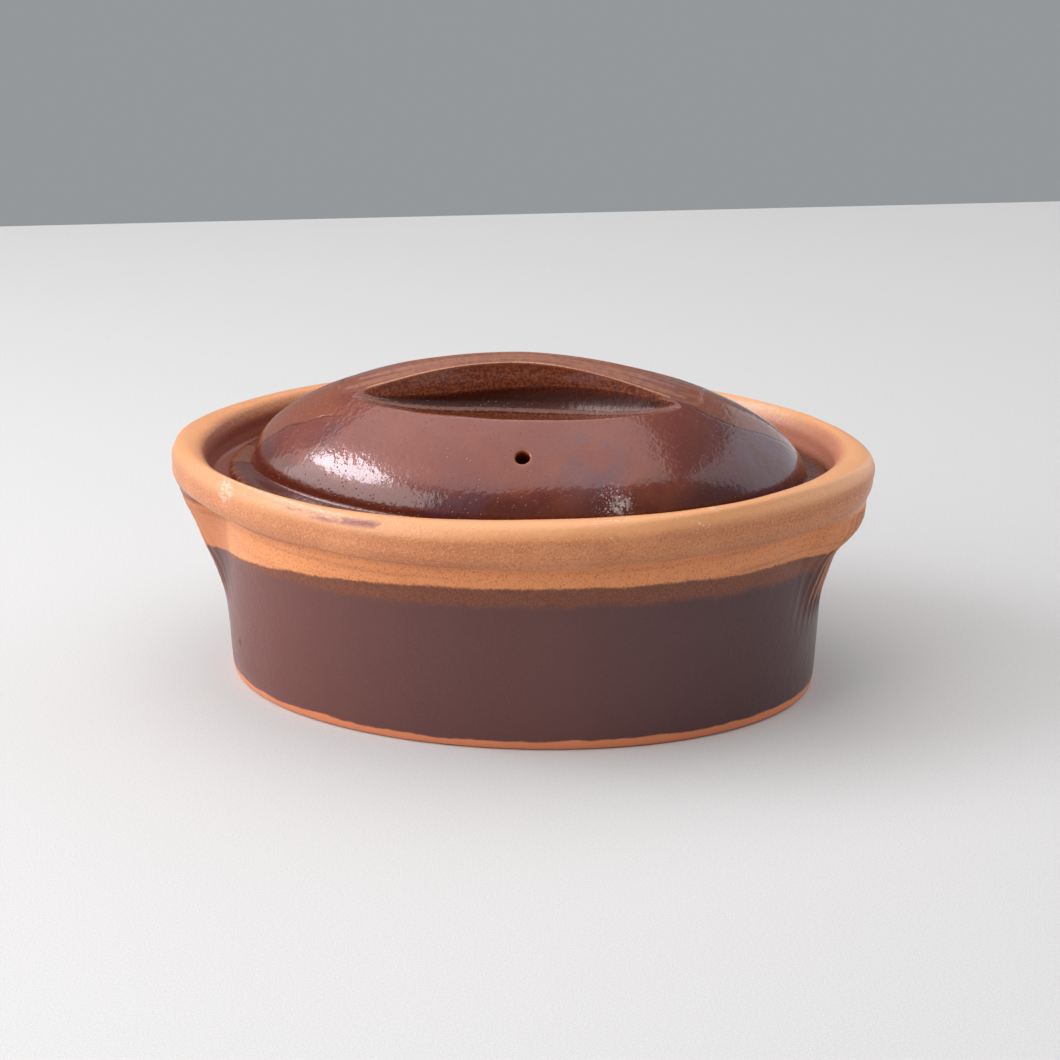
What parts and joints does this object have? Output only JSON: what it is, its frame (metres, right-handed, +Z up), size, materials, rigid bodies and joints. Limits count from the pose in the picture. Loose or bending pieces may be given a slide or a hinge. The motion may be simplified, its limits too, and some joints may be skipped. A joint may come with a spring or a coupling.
{
  "type": "covered casserole dish",
  "caption": "Oval stoneware casserole dish with a lug under each end of its rim and a domed lid that lifts off by a long ridge with finger pockets.",
  "frame": {"origin": "centre of the foot, on the surface that the dish stands on", "axes": "+X along the dish towards its right lug, +Y to the far side, +Z up; the vent in the lid is on the -Y side"},
  "size_m": [0.2492, 0.1708, 0.1179],
  "materials": {
    "dish_stoneware": "satin",
    "lid_glaze": "gloss"
  },
  "bodies": {
    "dish": {"casserole_dish": "dish_stoneware"},
    "lid": {"casserole_lid": "lid_glaze"}
  },
  "joints": [
    {"name": "lid_lift", "type": "slide", "parent": "dish", "child": "lid", "axis": [0, 0, 1], "range_m": [0, 0.12]}
  ]
}
